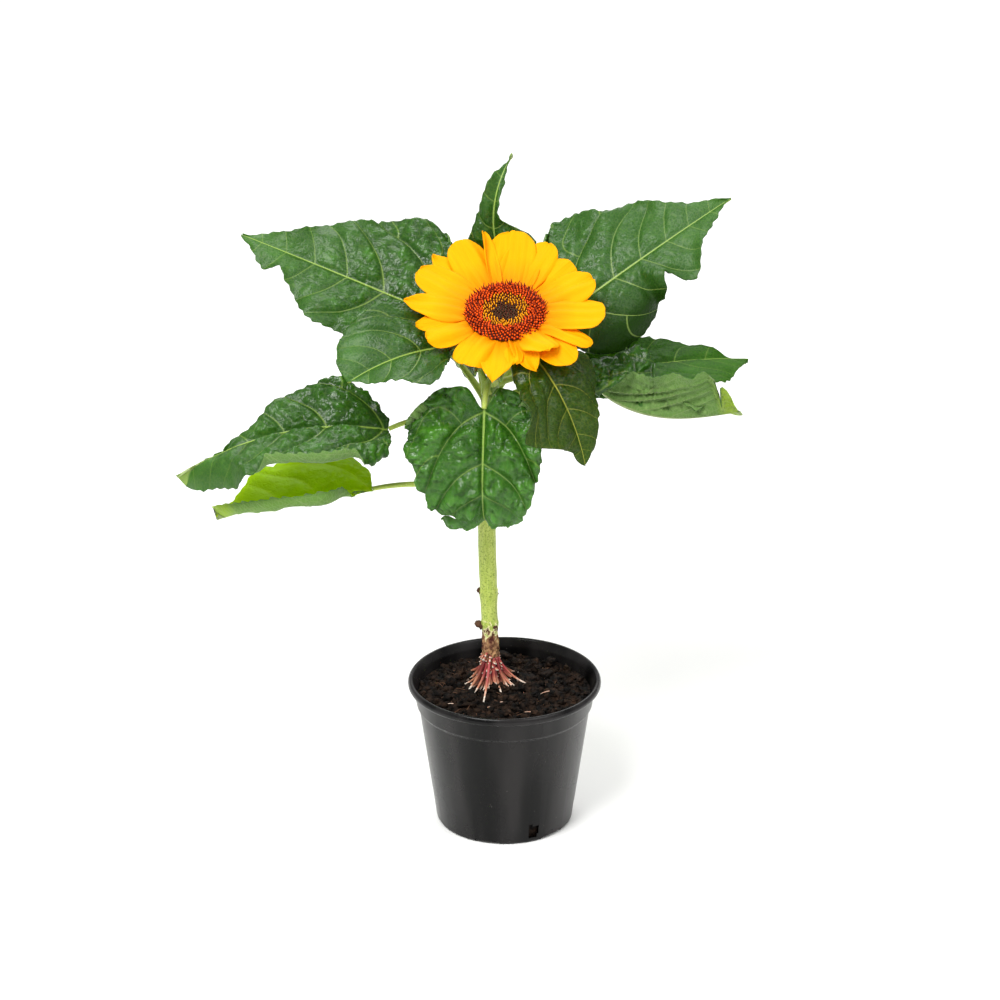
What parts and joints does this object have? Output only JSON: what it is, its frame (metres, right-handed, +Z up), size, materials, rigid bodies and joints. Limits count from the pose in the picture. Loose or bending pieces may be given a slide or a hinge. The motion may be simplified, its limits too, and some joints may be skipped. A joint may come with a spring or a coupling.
{
  "type": "potted sunflower plant",
  "caption": "Dwarf sunflower in a round nursery pot: one stem with broad leaves on stalks, and one open yellow flower facing up and forwards.",
  "frame": {"origin": "centre of the pot's flat underside, on the pot's axis, at the surface it stands on", "axes": "+Z up along the pot's axis; -Y is the front, the side that the flower faces; +X is to the right of someone who looks at the front"},
  "size_m": [0.3755, 0.2414, 0.4464],
  "materials": {
    "pot": "satin moulded black plastic",
    "compost": "moist, crumbly, dull",
    "stem": "green herbaceous stem, brown and pink at its foot",
    "stalk": "green, faintly hairy leaf stalk",
    "leaf": "mid-green leaf, crinkled, with pale veins",
    "petal": "golden yellow petal with orange shading",
    "disc": "brown and orange florets",
    "bract": "green, hairy bracts"
  },
  "bodies": {
    "root": {"pot": "pot", "compost": "compost", "stem": "stem", "stalk_upper_left": "stalk", "leaf_upper_left": "leaf", "stalk_left_inner": "stalk", "leaf_left_inner": "leaf", "stalk_mid_left": "stalk", "leaf_mid_left": "leaf", "stalk_low_left": "stalk", "leaf_low_left": "leaf", "stalk_front": "stalk", "leaf_front": "leaf", "stalk_front_right": "stalk", "leaf_front_right": "leaf", "stalk_upper_right": "stalk", "leaf_upper_right": "leaf", "stalk_right_back": "stalk", "leaf_right_back": "leaf", "stalk_right_curled": "stalk", "leaf_right_curled": "leaf", "stalk_top": "stalk", "leaf_top": "leaf", "stalk_back": "stalk", "leaf_back": "leaf", "stalk_back_left": "stalk", "leaf_back_left": "leaf", "stalk_back_right": "stalk", "leaf_back_right": "leaf", "stalk_low_back": "stalk", "leaf_low_back": "leaf", "disc_florets": "disc", "receptacle": "bract", "petal_01": "petal", "petal_02": "petal", "petal_03": "petal", "petal_04": "petal", "petal_05": "petal", "petal_06": "petal", "petal_07": "petal", "petal_08": "petal", "petal_09": "petal", "petal_10": "petal", "petal_11": "petal", "petal_12": "petal", "petal_13": "petal", "petal_14": "petal", "petal_15": "petal", "petal_16": "petal", "petal_17": "petal", "petal_18": "petal", "petal_19": "petal", "petal_20": "petal"}
  },
  "joints": []
}
